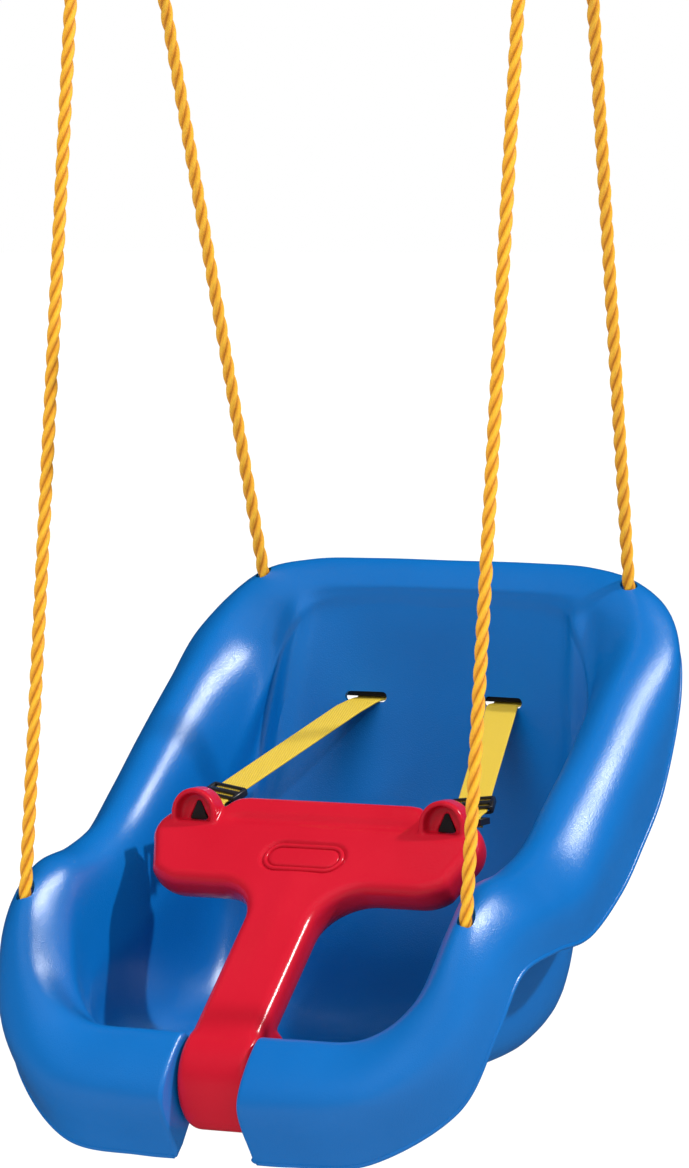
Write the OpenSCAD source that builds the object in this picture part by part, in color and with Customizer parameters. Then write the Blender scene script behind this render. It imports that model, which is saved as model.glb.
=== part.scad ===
// Toddler bucket swing: a moulded bucket seat with a hinged T-shaped safety bar,
// two webbing shoulder straps, four twisted ropes and two overhead pivot hangers.
// Units are millimetres and +Z is up. The child faces -Y and +X is on the child's left.
// The origin is midway between the two hangers, on the underside of the beam that
// they screw to. Seat sizes are kept in seat coordinates, whose origin is midway
// between the two front rope holes, and place_seat() moves them to the shared frame.

/* [Seat] */
// thickness of the moulded wall
shell_wall = 4; // [3:0.5:5]
// width of the gap in the front roll
gap_width = 59; // [57:1:62]
// radius of a rope hole in the rim
rope_hole_r = 6.5; // [6:0.5:8]

/* [Safety bar] */
// radius of the barrel in the front gap
barrel_r = 38.5; // [36:0.5:40]
// length of the barrel
barrel_length = 56; // [50:1:57]
// radius of the steel hinge rod
rod_r = 5; // [4:0.5:6]
// clearance of the barrel's bore around the rod
rod_clearance = 0.06; // [0.02:0.01:0.1]
// half length of the crossbar
crossbar_half = 134; // [128:1:138]

/* [Straps and ropes] */
// webbing width
webbing_width = 25; // [20:1:26]
// webbing thickness
webbing_thickness = 1.8; // [1.2:0.1:2]
// rope diameter
rope_d = 10; // [8:0.5:11]
// diameter of a stopper knot
knot_d = 21; // [19:0.5:24]

/* [Hanging] */
// height of the beam's underside above the front rope holes
beam_height = 748; // [700:1:800]
// distance of the swing axis behind the front rope holes
pivot_y = 122; // [115:1:130]
// radius of a pivot pin
pin_r = 5; // [4:0.5:6]
// clearance of the spreader's eye around the pin
pin_clearance = 0.06; // [0.02:0.01:0.1]

/* [Hidden] */
$fn = 64;

blue = [0.0, 0.36, 0.70];
red = [0.80, 0.11, 0.19];
rope_yellow = [1.0, 0.72, 0.08];
strap_yellow = [0.93, 0.78, 0.22];
black = [0.06, 0.06, 0.07];
zinc = [0.72, 0.73, 0.75];

module place_seat() { translate([0, -pivot_y, -beam_height]) children(); }

// ------------------------------------------------------------------ seat shell
// One rib of the right half per row, from the middle of the front roll round the
// side to the middle of the back. Each row runs across the wall:
// lip, outer shoulder, crest of the rim, inner edge, wall, fillet, and the [y, z]
// where the rib meets the seat's centre line.
ribs = [
    [[0, -42, -184], [0, -69, -138], [0, -38, -96], [0, -17, -104], [0, -6, -117], [0, 10, -124], [24, -126]],
    [[60, -43, -184], [60, -70, -138], [60, -39, -96], [58, -17, -104], [56, -6, -117], [52, 12, -124], [50, -128]],
    [[122, -40, -178], [126, -64, -130], [116, -38, -92], [106, -14, -100], [100, 0, -114], [92, 22, -123], [80, -129]],
    [[176, -10, -142], [177, -36, -98], [158, -32, -62], [137, -2, -72], [132, 16, -98], [120, 40, -123], [108, -131]],
    [[198, 8, -88], [195, -8, -44], [175, -10, -12], [152, 16, -26], [144, 34, -76], [130, 64, -124], [136, -134]],
    [[205, 36, -48], [203, 32, -12], [181, 28, 14], [157, 38, 2], [148, 62, -56], [134, 96, -123], [164, -137]],
    [[206, 92, -38], [208, 86, -4], [183, 80, 21], [157, 84, 10], [148, 108, -42], [137, 136, -122], [190, -135]],
    [[207, 150, -34], [210, 136, 6], [183, 128, 37], [158, 132, 26], [148, 156, -24], [138, 188, -116], [217, -128]],
    [[207, 205, -10], [209, 184, 42], [183, 172, 68], [158, 178, 58], [147, 202, 4], [137, 238, -95], [241, -108]],
    [[207, 244, 19], [209, 228, 78], [183, 214, 101], [158, 222, 90], [146, 242, 46], [134, 266, -42], [257, -67]],
    [[207, 288, 62], [208, 276, 118], [181, 260, 138], [157, 266, 126], [142, 280, 92], [129, 286, 22], [282, -10]],
    [[205, 324, 130], [203, 320, 162], [176, 308, 174], [152, 306, 158], [136, 308, 132], [124, 308, 84], [312, 62]],
    [[184, 356, 170], [177, 354, 196], [156, 340, 209], [137, 326, 192], [124, 323, 172], [112, 322, 142], [330, 126]],
    [[136, 372, 184], [132, 370, 206], [118, 354, 220], [108, 338, 203], [101, 335, 192], [92, 334, 178], [336, 170]],
    [[72, 376, 188], [70, 374, 210], [64, 357, 222], [60, 341, 205], [56, 338.5, 197], [50, 338, 188], [338, 184]],
    [[0, 376, 188], [0, 374, 210], [0, 357, 222], [0, 341, 205], [0, 339, 198], [0, 338.5, 191], [338.5, 186]]
];
last_rib = len(ribs) - 1;
spans_round = 46;
spans_across = 18;

function flip(p) = [-p.x, p.y, p.z];
function smooth(a, b, c, d, t) = 0.5 * (2 * b + (c - a) * t + (2 * a - 5 * b + 4 * c - d) * t * t
    + (3 * b - a - 3 * c + d) * t * t * t);
function rib_point(k, j) = k < 0 ? flip(rib_point(-k, j))
    : k > last_rib ? flip(rib_point(2 * last_rib - k, j))
    : j < 6 ? ribs[k][j] : [0, ribs[k][6][0], ribs[k][6][1]];
function knot_at(u, j) = let (i = min(floor(u), last_rib - 1), t = u - i)
    smooth(rib_point(i - 1, j), rib_point(i, j), rib_point(i + 1, j), rib_point(i + 2, j), t);
// all the section's points at u, with one beyond each end
function section_knots(u) = let (q = [for (j = [0:6]) knot_at(u, j)])
    concat([2 * q[0] - q[1]], q, [flip(q[5])]);
function across(q, v) = let (i = min(floor(v), 5), t = v - i)
    smooth(q[i], q[i + 1], q[i + 2], q[i + 3], t);
// column 0 is the centre line and the last column is the lip
half_grid = [for (i = [0:spans_round]) let (q = section_knots(last_rib * i / spans_round))
    [for (j = [0:spans_across]) across(q, 6 * (1 - j / spans_across))]];
function grid(i, j) = i < 0 ? flip(grid(-i, j))
    : i > spans_round ? flip(grid(2 * spans_round - i, j))
    : j < 0 ? flip(half_grid[i][-j]) : half_grid[i][min(j, spans_across)];
function seam(i, j) = i == 0 || i == spans_round || j == 0;
function along(i, j) = j > 0 && (i == 0 || i == spans_round) ? [1, 0, 0]
    : j == 0 && i == 0 ? grid(1, 0) - grid(0, 1)
    : j == 0 && i == spans_round ? grid(spans_round, 1) - grid(spans_round - 1, 0)
    : grid(i + 1, j) - grid(i - 1, j);
function outward(i, j) = j == 0 ? [1, 0, 0] : grid(i, j + 1) - grid(i, j - 1);
function unit(v) = v / norm(v);
function up_normal(i, j) = unit(cross(outward(i, j), along(i, j)));
half_top = [for (i = [0:spans_round]) for (j = [0:spans_across]) grid(i, j)];
half_under = [for (i = [0:spans_round]) for (j = [0:spans_across]) grid(i, j) - shell_wall * up_normal(i, j)];
half_count = len(half_top);
function right_id(i, j) = i * (spans_across + 1) + j;
function left_id(i, j) = seam(i, j) ? right_id(i, j) : half_count + right_id(i, j);
function quad(a, b, c, d) = [[a, b, c], [a, c, d]];
function shell_faces() = [
    for (i = [0:spans_round - 1]) for (j = [0:spans_across - 1])
        for (side = [0, 1]) for (under = [0, 2 * half_count])
            let (a = (side == 0 ? right_id(i, j) : left_id(i, j)) + under,
                b = (side == 0 ? right_id(i + 1, j) : left_id(i + 1, j)) + under,
                c = (side == 0 ? right_id(i + 1, j + 1) : left_id(i + 1, j + 1)) + under,
                d = (side == 0 ? right_id(i, j + 1) : left_id(i, j + 1)) + under)
            for (f = (side == 0) == (under == 0) ? quad(a, b, c, d) : quad(d, c, b, a)) f,
    for (i = [0:spans_round - 1]) for (side = [0, 1])
        let (j = spans_across,
            a = side == 0 ? right_id(i, j) : left_id(i, j),
            b = side == 0 ? right_id(i + 1, j) : left_id(i + 1, j),
            c = b + 2 * half_count, d = a + 2 * half_count)
        for (f = side == 0 ? quad(a, b, c, d) : quad(d, c, b, a)) f
];

module shell_skin() {
    polyhedron(points = concat(half_top, [for (p = half_top) flip(p)],
        half_under, [for (p = half_under) flip(p)]), faces = shell_faces());
}

// the front roll's end wall, [y, z], one each side of the gap
cheek_outline = [[-42, -183], [-58, -168], [-66, -152], [-67, -136], [-60, -114], [-48, -101], [-38, -98],
    [-26, -100], [-18, -106], [-8, -118], [2, -124], [12, -127], [34, -129], [34, -133],
    [8, -142], [-12, -150], [-26, -163]];
cheek_thickness = 5;

front_hole = [178, 0, 0];
rear_hole = [155, 341, 209];
front_rope_way = unit([3.5, 84, 690]);
rear_rope_way = unit([24, -133, 481]);
slot_centre = [58, 325, 117];
slot_length = 34;
slot_height = 8;
hinge_y = -13;
hinge_z = -129;

module along_way(at, way) {
    translate(at) rotate([0, acos(way.z), atan2(way.y, way.x)]) children();
}

module slot_cutter(x) {
    for (side = [-1, 1])
        translate([x + side * (slot_length - slot_height) / 2, slot_centre.y, slot_centre.z])
            rotate([90, 0, 0]) cylinder(r = slot_height / 2, h = 40, center = true);
    translate([x, slot_centre.y, slot_centre.z])
        cube([slot_length - slot_height, 40, slot_height], center = true);
}

module seat_shell() {
    color(blue) place_seat() difference() {
        union() {
            difference() {
                shell_skin();
                translate([-gap_width / 2, -100, -220]) cube([gap_width, 131, 150]);
            }
            for (side = [-1, 1])
                translate([side > 0 ? gap_width / 2 : -gap_width / 2 - cheek_thickness, 0, 0])
                    rotate([90, 0, 90]) linear_extrude(cheek_thickness) polygon(cheek_outline);
        }
        for (side = [-1, 1]) {
            along_way([side * front_hole.x, front_hole.y, front_hole.z],
                [side * front_rope_way.x, front_rope_way.y, front_rope_way.z])
                cylinder(r = rope_hole_r, h = 44, center = true);
            along_way([side * rear_hole.x, rear_hole.y, rear_hole.z],
                [side * rear_rope_way.x, rear_rope_way.y, rear_rope_way.z])
                cylinder(r = rope_hole_r, h = 44, center = true);
            slot_cutter(side * slot_centre.x);
        }
        translate([0, hinge_y, hinge_z]) rotate([0, 90, 0]) cylinder(r = rod_r, h = 90, center = true);
    }
}

// ------------------------------------------------------------------ safety bar
// The bar is drawn lying flat, x across it, y up the stem from the hinge and z out of
// its front face, and bar_tilt stands it up.
bar_tilt = 41.3;
face_height = 38;
bar_depth = 34;
edge_step = 4;
stem_half = 28;
bar_foot = 155;
bar_top = 242;
throat_r = 34;
arch_x = 102;
channel_floor = 39;

module stand_bar() { translate([0, hinge_y, hinge_z]) rotate([bar_tilt, 0, 0]) children(); }

function arc(centre, r, from, to, steps) =
    [for (k = [0:steps]) let (a = from + (to - from) * k / steps) centre + r * [cos(a), sin(a)]];

// right half of the T from the stem's foot to its top middle, shrunk by inset
function half_t(inset) = concat(
    [[stem_half - inset, 10]],
    arc([stem_half + throat_r, bar_foot - throat_r], throat_r + inset, 180, 90, 8),
    arc([96, bar_foot + 34], 34 - inset, -90, -42, 4),
    arc([crossbar_half - 24, 205], 24 - inset, -25, 72, 8),
    [[84, 229 - inset], [78, bar_top - 2 - inset], [70, bar_top - inset]]);

module t_outline(inset) {
    half = half_t(inset);
    polygon(concat(half, [for (k = [len(half) - 1:-1:0]) [-half[k].x, half[k].y]]));
}

module t_layer(low, high, inset) { translate([0, 0, low]) linear_extrude(high - low) t_outline(inset); }

module arch_outline() {
    polygon(concat([[-18.5, 30]], [for (k = [0:14]) let (a = 180 - 180 * k / 14)
        [18.5 * cos(a), 45 + 18.5 * sin(a)]], [[18.5, 30]]));
}

// the pocket under an arch, and the triangular hole through its back wall
module pocket_outline() {
    polygon(concat([[-14.5, channel_floor]], [for (k = [0:12]) let (a = 180 - 180 * k / 12)
        [14.5 * cos(a), 45 + 14.5 * sin(a)]], [[14.5, channel_floor]]));
}

module tunnel_outline() {
    polygon([[-8.4, channel_floor], [8.4, channel_floor], [2.4, 55], [-2.4, 55]]);
}

module t_bar() {
    color(red) place_seat() difference() {
        union() {
            stand_bar() {
                t_layer(face_height - edge_step, face_height, edge_step);
                t_layer(face_height - 16, face_height - edge_step, 0);
                t_layer(face_height - 24, face_height - 16, 6);
                t_layer(face_height - bar_depth, face_height - 24, 15);
            }
            translate([0, hinge_y, hinge_z]) rotate([0, 90, 0]) rotate([0, 0, 90 + bar_tilt])
                cylinder(r = barrel_r, h = barrel_length, center = true);
            for (side = [-1, 1])
                translate([side * arch_x, 136, 0]) rotate([90, 0, 0]) linear_extrude(17) arch_outline();
        }
        for (side = [-1, 1]) translate([side * arch_x, 0, 0]) {
            translate([0, 129, 0]) rotate([90, 0, 0]) linear_extrude(30) pocket_outline();
            translate([0, 175, 0]) rotate([90, 0, 0]) linear_extrude(60) tunnel_outline();
        }
        translate([0, hinge_y, hinge_z]) rotate([0, 90, 0])
            cylinder(r = rod_r + rod_clearance, h = 90, center = true);
        stand_bar() translate([0, 0, face_height - badge_recess]) linear_extrude(10) badge_outline(badge_length, badge_width);
    }
}

badge_length = 68;
badge_width = 29;
badge_recess = 2.5;
badge_s = 182;

module badge_outline(length, width) {
    polygon(concat(arc([(length - width) / 2, badge_s], width / 2, -90, 90, 16),
        arc([-(length - width) / 2, badge_s], width / 2, 90, 270, 16)));
}

module badge() {
    color(red) place_seat() stand_bar()
        translate([0, 0, face_height - badge_recess]) linear_extrude(badge_recess) badge_outline(badge_length - 6, badge_width - 6);
}

module hinge_rod() {
    color(zinc) place_seat() translate([0, hinge_y, hinge_z]) rotate([0, 90, 0])
        cylinder(r = rod_r, h = 96, center = true);
}

module rod_cap(side) {
    color(zinc) place_seat() translate([side * 39, hinge_y, hinge_z]) rotate([0, 90, 0])
        difference() {
            cylinder(r = 7.5, h = 6, center = true);
            cylinder(r = rod_r, h = 8, center = true);
        }
}

module left_rod_cap() { rod_cap(-1); }
module right_rod_cap() { rod_cap(1); }

// -------------------------------------------------------------------- straps
adjuster_at = [103, 172, 54.5];
strap_way = unit([slot_centre.x, slot_centre.y, slot_centre.z] - adjuster_at);
strap_across = unit([1, 0, 0] - strap_way.x * strap_way);
strap_up = cross(strap_way, strap_across) * (cross(strap_way, strap_across).z > 0 ? 1 : -1);

// a flat strap swept through points, each with its own direction across
module strap_sweep(points, widths) {
    n = len(points);
    function way(k) = unit(points[min(k + 1, n - 1)] - points[max(k - 1, 0)]);
    function side_of(k) = unit(widths[k] - (widths[k] * way(k)) * way(k));
    ring = [for (k = [0:n - 1]) let (a = side_of(k) * webbing_width / 2,
        b = cross(way(k), side_of(k)) * webbing_thickness / 2)
        for (c = [a + b, b - a, -a - b, a - b]) points[k] + c];
    polyhedron(points = ring, faces = concat([[0, 1, 2, 3]], [[4 * n - 1, 4 * n - 2, 4 * n - 3, 4 * n - 4]],
        [for (k = [0:n - 2]) for (m = [0:3]) let (a = 4 * k + m, b = 4 * k + (m + 1) % 4)
            for (f = quad(a, a + 4, b + 4, b)) f]));
}

// centre line of a strap from the anchor behind the back to the catch's bar
strap_points = concat([[58, 338.3, 124], [58, 337.5, 119], [58, 336.9, 116.4], [58, 334.6, 114.6], [58, 326, 114.6],
    [58.8, 321, 113.8], [64, 305, 108.6]], [adjuster_at + 48 * strap_way, adjuster_at, adjuster_at - 9.6 * strap_way],
    [[105.5, 157.5, 50.4], [105.5, 153.2, 49], [105.5, 152.6, 45.3], [105.5, 154.3, 42], [105.5, 159, 41.4]]);
strap_sides = concat([for (k = [0:4]) [1, 0, 0]], [[1, 0.1, 0], strap_across, strap_across, strap_across, strap_across],
    [for (k = [0:4]) [1, 0, 0]]);

module webbing(side) {
    color(strap_yellow) place_seat() {
        if (side > 0) strap_sweep(strap_points, strap_sides);
        else mirror([1, 0, 0]) strap_sweep(strap_points, strap_sides);
    }
}

module left_webbing() { webbing(-1); }
module right_webbing() { webbing(1); }

module strap_anchor(side) {
    color(black) place_seat() translate([side * slot_centre.x, 333.3, 119.9])
        rotate([-11, 0, 0]) cube([44, 5, 6.4], center = true);
}

module left_strap_anchor() { strap_anchor(-1); }
module right_strap_anchor() { strap_anchor(1); }

// local x across the strap, y along it towards the back, z out of its upper face
module on_strap(side, at) {
    translate([side * at.x, at.y, at.z])
        multmatrix([[strap_across.x, side * strap_way.x, side * strap_up.x, 0],
            [side * strap_across.y, strap_way.y, strap_up.y, 0],
            [side * strap_across.z, strap_way.z, strap_up.z, 0], [0, 0, 0, 1]]) children();
}

module adjuster(side) {
    color(black) place_seat() on_strap(side, adjuster_at) difference() {
        cube([33, 18, 6.4], center = true);
        cube([webbing_width + 2, 30, webbing_thickness + 0.8], center = true);
        for (y = [-4.5, 4.5]) translate([0, y, 0]) cube([webbing_width + 2, 3.5, 10], center = true);
    }
}

module left_adjuster() { adjuster(-1); }
module right_adjuster() { adjuster(1); }

// a tongue that lies in the arch, and a frame behind it that holds the webbing's loop
module catch(side) {
    color(black) place_seat() {
        translate([side * arch_x, 146, 0]) rotate([90, 0, 0]) linear_extrude(16.6)
            polygon([[-7, channel_floor + 0.5], [7, channel_floor + 0.5], [1.4, 53], [-1.4, 53]]);
        translate([side * (arch_x + 2.5), 0, 0]) difference() {
            translate([-18, 144, 43.6]) cube([36, 16.5, 4.6]);
            translate([-15, 148.5, 40]) cube([30, 6.5, 20]);
        }
    }
}

module left_catch() { catch(-1); }
module right_catch() { catch(1); }

// --------------------------------------------------------------------- ropes
rope_top = 676;
bar_thickness = 8;
front_top = [181.5, 84, 690];
rear_top = [179, 208, 690];
function on_front(z) = front_hole + front_rope_way * (z - front_hole.z) / front_rope_way.z;
function on_rear(z) = rear_hole + rear_rope_way * (z - rear_hole.z) / rear_rope_way.z;
rope_rings = 18;
// room for the tilted foot of a stop knot
knot_lift = 1.8;

module rope(side, low, high) {
    sides = 8;
    way = unit(high - low);
    a = unit(cross(way, [1, 0, 0]));
    b = cross(way, a);
    ring = [for (k = [0:rope_rings]) for (m = [0:sides - 1]) let (t = 360 * m / sides)
        low + (high - low) * k / rope_rings + rope_d / 2 * (a * cos(t) + b * sin(t))];
    color(rope_yellow) place_seat() mirror([side < 0 ? 1 : 0, 0, 0])
        polyhedron(points = ring, faces = concat([[for (m = [sides - 1:-1:0]) m]],
            [[for (m = [0:sides - 1]) rope_rings * sides + m]],
            [for (k = [0:rope_rings - 1]) for (m = [0:sides - 1])
                let (p = k * sides + m, q = k * sides + (m + 1) % sides)
                for (f = quad(p, q, q + sides, p + sides)) f]));
}

front_low = front_hole - front_rope_way * 30;
rear_low = rear_hole - rear_rope_way * 7;
front_high = on_front(rope_top + bar_thickness + knot_lift);
rear_high = on_rear(rope_top + bar_thickness + knot_lift);

module left_front_rope() { rope(-1, front_low, front_high); }
module left_rear_rope() { rope(-1, rear_low, rear_high); }
module right_front_rope() { rope(1, front_low, front_high); }
module right_rear_rope() { rope(1, rear_low, rear_high); }

// a stopper knot with a flat where it meets the rope's end and bears on its plate
module knot(side, at, way) {
    color(rope_yellow) place_seat() mirror([side < 0 ? 1 : 0, 0, 0]) along_way(at, way)
        difference() {
            translate([0, 0, knot_d * 0.42]) sphere(d = knot_d);
            translate([0, 0, -knot_d]) cube(2 * knot_d, center = true);
        }
}

module left_front_knot() { knot(-1, front_low, -front_rope_way); }
module left_rear_knot() { knot(-1, rear_low, -rear_rope_way); }
module right_front_knot() { knot(1, front_low, -front_rope_way); }
module right_rear_knot() { knot(1, rear_low, -rear_rope_way); }
module left_front_stop_knot() { knot(-1, front_high, front_rope_way); }
module left_rear_stop_knot() { knot(-1, rear_high, rear_rope_way); }
module right_front_stop_knot() { knot(1, front_high, front_rope_way); }
module right_rear_stop_knot() { knot(1, rear_high, rear_rope_way); }

// ------------------------------------------------------------------- hanging
hang_x = 180;
axis_z = beam_height - 26;
eye_r = 13;
web_thickness = 6;

module spreader(side) {
    color(zinc) place_seat() mirror([side < 0 ? 1 : 0, 0, 0]) difference() {
        union() {
            translate([hang_x - 14, 66, rope_top]) cube([28, 162, bar_thickness]);
            translate([hang_x - web_thickness / 2, 0, 0]) rotate([90, 0, 90]) linear_extrude(web_thickness)
                polygon([[pivot_y - 22, rope_top + 1], [pivot_y + 66, rope_top + 1], [pivot_y + 10, axis_z + 4],
                    [pivot_y - 10, axis_z + 4]]);
            translate([hang_x, pivot_y, axis_z]) rotate([0, 90, 0]) cylinder(r = eye_r, h = web_thickness + 2, center = true);
        }
        translate([hang_x, pivot_y, axis_z]) rotate([0, 90, 0])
            cylinder(r = pin_r + pin_clearance, h = 20, center = true);
        for (at = [on_front(rope_top + bar_thickness / 2), on_rear(rope_top + bar_thickness / 2)])
            translate(at) cylinder(r = rope_d / 2 + 1.8, h = 2 * bar_thickness, center = true);
    }
}

module left_spreader() { spreader(-1); }
module right_spreader() { spreader(1); }

// a clevis with a flat top plate and two screw holes
module hanger(side) {
    color(zinc) place_seat() mirror([side < 0 ? 1 : 0, 0, 0]) difference() {
        union() {
            translate([hang_x - 20, pivot_y - 45, beam_height - 6]) cube([40, 90, 6]);
            for (x = [-1, 1])
                translate([hang_x + x * 7, 0, 0]) rotate([90, 0, 90]) linear_extrude(5, center = true)
                    polygon(concat([[pivot_y + 18, beam_height - 3]],
                        [for (k = [0:12]) [pivot_y, axis_z] + 13 * [cos(180 * k / 12), -sin(180 * k / 12)]],
                        [[pivot_y - 18, beam_height - 3]]));
        }
        translate([hang_x, pivot_y, axis_z]) rotate([0, 90, 0]) cylinder(r = pin_r, h = 60, center = true);
        for (y = [-32, 32]) translate([hang_x, pivot_y + y, beam_height - 10]) cylinder(r = 4.5, h = 20);
    }
}

module left_hanger() { hanger(-1); }
module right_hanger() { hanger(1); }

// a headed bolt through the clevis, with a lock nut
module pin(side) {
    color(zinc) place_seat() translate([side * hang_x, pivot_y, axis_z]) rotate([0, side * 90, 0]) {
        translate([0, 0, -18]) cylinder(r = pin_r, h = 36);
        translate([0, 0, 9.5]) cylinder(r = 8.5, h = 5, $fn = 6);
    }
}

module pin_nut(side) {
    color(zinc) place_seat() translate([side * hang_x, pivot_y, axis_z]) rotate([0, -side * 90, 0])
        translate([0, 0, 9.5]) difference() {
            cylinder(r = 8.5, h = 6, $fn = 6);
            translate([0, 0, -1]) cylinder(r = pin_r, h = 8);
        }
}

module left_pin() { pin(-1); }
module right_pin() { pin(1); }
module left_pin_nut() { pin_nut(-1); }
module right_pin_nut() { pin_nut(1); }

seat_shell();
t_bar();
badge();
hinge_rod();
left_rod_cap();
right_rod_cap();
left_webbing();
right_webbing();
left_strap_anchor();
right_strap_anchor();
left_adjuster();
right_adjuster();
left_catch();
right_catch();
left_front_rope();
left_rear_rope();
right_front_rope();
right_rear_rope();
left_front_knot();
left_rear_knot();
right_front_knot();
right_rear_knot();
left_front_stop_knot();
left_rear_stop_knot();
right_front_stop_knot();
right_rear_stop_knot();
left_spreader();
right_spreader();
left_hanger();
right_hanger();
left_pin();
right_pin();
left_pin_nut();
right_pin_nut();
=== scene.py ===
"""Toddler bucket swing: moulded seat, hinged T-shaped safety bar, webbing straps,
three-strand ropes and the steel hangers above.

Lengths are in millimetres in seat coordinates, whose origin is midway between the two
front rope holes, and place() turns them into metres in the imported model's frame.
"""

import math

import bmesh
import bpy
import numpy as np
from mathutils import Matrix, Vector


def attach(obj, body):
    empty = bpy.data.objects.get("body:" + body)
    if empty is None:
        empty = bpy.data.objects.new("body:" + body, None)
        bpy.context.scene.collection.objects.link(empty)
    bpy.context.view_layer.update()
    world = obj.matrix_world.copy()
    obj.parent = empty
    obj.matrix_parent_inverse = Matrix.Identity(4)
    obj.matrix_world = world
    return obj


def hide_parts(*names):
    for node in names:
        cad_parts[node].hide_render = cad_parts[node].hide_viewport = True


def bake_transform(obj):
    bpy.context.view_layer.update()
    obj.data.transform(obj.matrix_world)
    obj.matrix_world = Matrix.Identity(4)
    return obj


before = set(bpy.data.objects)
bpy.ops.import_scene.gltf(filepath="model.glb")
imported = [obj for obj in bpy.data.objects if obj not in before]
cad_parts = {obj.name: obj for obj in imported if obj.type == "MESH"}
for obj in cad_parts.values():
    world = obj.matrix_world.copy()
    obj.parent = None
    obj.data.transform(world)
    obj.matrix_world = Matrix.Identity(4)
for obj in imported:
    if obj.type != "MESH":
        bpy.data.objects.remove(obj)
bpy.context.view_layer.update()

MM = 0.001
PIVOT_Y, BEAM_HEIGHT = 122.0, 748.0
SIDES = (("left", -1), ("right", 1))


def place(points):
    """Seat millimetres to metres in the shared frame."""
    return (np.asarray(points, float) - (0, PIVOT_Y, BEAM_HEIGHT)) * MM


def unit(v):
    v = np.asarray(v, float)
    return v / np.linalg.norm(v)


def add_to_scene(name, data):
    obj = bpy.data.objects.new(name, data)
    bpy.context.scene.collection.objects.link(obj)
    return obj


# --------------------------------------------------------------------- camera
CAMERA_PLACE = (1.9239, -3.8901, -0.2204)
CAMERA_TILT, CAMERA_TURN = 85.93, 26.05
LENS, SENSOR = 182.3, 36


def make_camera():
    data = bpy.data.cameras.new("camera")
    data.lens = LENS
    data.sensor_width = SENSOR
    data.clip_start, data.clip_end = 0.05, 200
    cam = add_to_scene("camera", data)
    cam.location = CAMERA_PLACE
    cam.rotation_euler = (math.radians(CAMERA_TILT), 0, math.radians(CAMERA_TURN))
    bpy.context.scene.camera = cam


make_camera()


# --------------------------------------------------------------- mesh helpers
def new_object(name, verts, faces, material=None, smooth=True):
    """verts are in seat millimetres."""
    mesh = bpy.data.meshes.new(name)
    mesh.from_pydata(place(verts).tolist(), [], [list(map(int, f)) for f in faces])
    bm = bmesh.new()
    bm.from_mesh(mesh)
    bmesh.ops.remove_doubles(bm, verts=bm.verts, dist=1e-6)
    bmesh.ops.recalc_face_normals(bm, faces=bm.faces)
    bm.to_mesh(mesh)
    bm.free()
    mesh.polygons.foreach_set("use_smooth", [smooth] * len(mesh.polygons))
    obj = add_to_scene(name, mesh)
    if material:
        mesh.materials.append(material)
    return obj


def tube_faces(rings, n, base=0):
    """Quads between rings of n points each, with a cap on the first and the last ring."""
    faces = []
    for i in range(rings - 1):
        for k in range(n):
            p, q = base + i * n + k, base + i * n + (k + 1) % n
            faces.append((p, q, q + n, p + n))
    last = base + (rings - 1) * n
    return faces + [[base + k for k in range(n)][::-1], [last + k for k in range(n)]]


def apply_modifiers(obj):
    bpy.context.view_layer.update()
    dg = bpy.context.evaluated_depsgraph_get()
    mesh = bpy.data.meshes.new_from_object(obj.evaluated_get(dg), depsgraph=dg)
    obj.modifiers.clear()
    obj.data = mesh
    return obj


def cut(obj, cutters):
    for cutter in cutters:
        mod = obj.modifiers.new("cut", "BOOLEAN")
        mod.operation, mod.solver, mod.object = "DIFFERENCE", "EXACT", cutter
    apply_modifiers(obj)
    for cutter in cutters:
        bpy.data.objects.remove(cutter)


def crease(obj, angle=35):
    """Smooth shading that keeps edges sharper than angle."""
    bm = bmesh.new()
    bm.from_mesh(obj.data)
    for e in bm.edges:
        if len(e.link_faces) == 2:
            e.smooth = e.calc_face_angle(0) < math.radians(angle)
    for f in bm.faces:
        f.smooth = True
    bm.to_mesh(obj.data)
    bm.free()
    return obj


def box(name, low, high):
    (x0, y0, z0), (x1, y1, z1) = low, high
    v = [(x, y, z) for x in (x0, x1) for y in (y0, y1) for z in (z0, z1)]
    f = [(0, 1, 3, 2), (4, 6, 7, 5), (0, 4, 5, 1), (2, 3, 7, 6), (0, 2, 6, 4), (1, 5, 7, 3)]
    return new_object(name, v, f, smooth=False)


def frame_along(way, side=(1, 0, 0)):
    w = unit(way)
    a = unit(np.asarray(side, float) - np.dot(side, w) * w)
    return a, np.cross(w, a), w


def lathe(name, profile, at, way, steps=64, material=None):
    """profile is a list of (radius, height along way)."""
    a, b, w = frame_along(way, (0.1, 0.97, 0.2))
    at = np.asarray(at, float)
    verts = []
    for r, h in profile:
        for k in range(steps):
            t = 2 * math.pi * k / steps
            verts.append(at + w * h + r * (a * math.cos(t) + b * math.sin(t)))
    return new_object(name, verts, tube_faces(len(profile), steps), material)


def prism(name, outline, y0, y1, x_shift=0.0, round_r=0.0, material=None, steps=5):
    """An [x, z] outline drawn along Y, its two end edges rounded by round_r."""
    outline = np.asarray(outline, float)
    normal = outline_normals(outline)
    rings = []
    for k in range(steps + 1):
        t = math.pi / 2 * k / steps
        rings.append((y0 + round_r * (1 - math.sin(t)), round_r * (1 - math.cos(t))))
    ends = rings[::-1] + [(y1 - (y - y0), r) for y, r in rings]
    if not round_r:
        ends = [(y0, 0), (y1, 0)]
    verts = []
    for y, r in ends:
        for p, q in zip(outline, normal):
            verts.append((p[0] - q[0] * r + x_shift, y, p[1] - q[1] * r))
    return new_object(name, verts, tube_faces(len(ends), len(outline)), material)


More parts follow.
